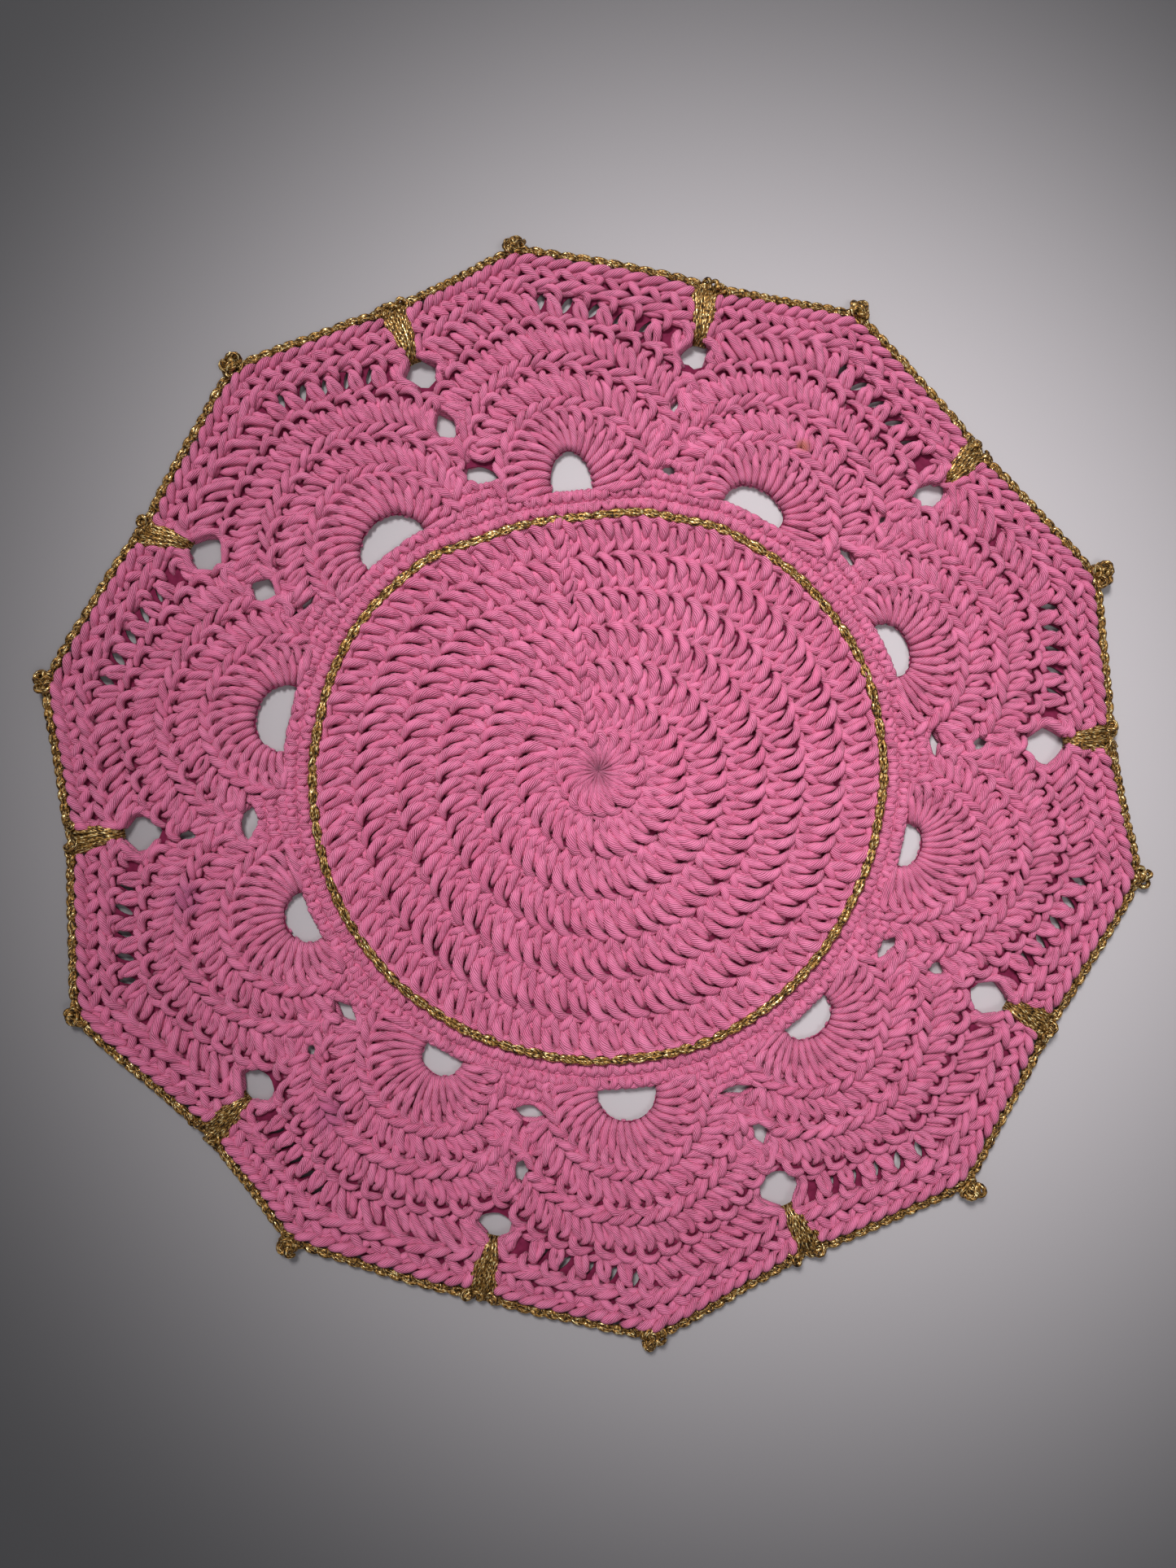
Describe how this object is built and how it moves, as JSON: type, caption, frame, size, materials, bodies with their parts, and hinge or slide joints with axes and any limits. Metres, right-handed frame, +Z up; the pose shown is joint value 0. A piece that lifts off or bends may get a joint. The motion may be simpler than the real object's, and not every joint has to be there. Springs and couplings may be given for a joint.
{
  "type": "placemat",
  "caption": "Round crochet placemat in pink cotton: a solid disc inside a border of scallops with arched openings, with a gold chain round the disc and a gold edging.",
  "frame": {"origin": "middle of the border's scallops, on the underside", "axes": "+Z up out of the face that shows, +Y towards the top of the picture, +X to its right"},
  "size_m": [0.3572, 0.3566, 0.0053],
  "materials": {
    "pink_cotton": "matt mercerised cotton yarn in rose pink, plied, worked in crochet",
    "gold_yarn": "metallic gold yarn with bright and brown glints, chained"
  },
  "bodies": {
    "root": {"mat": "pink_cotton", "gold_ring": "gold_yarn", "gold_edging": "gold_yarn"}
  },
  "joints": []
}
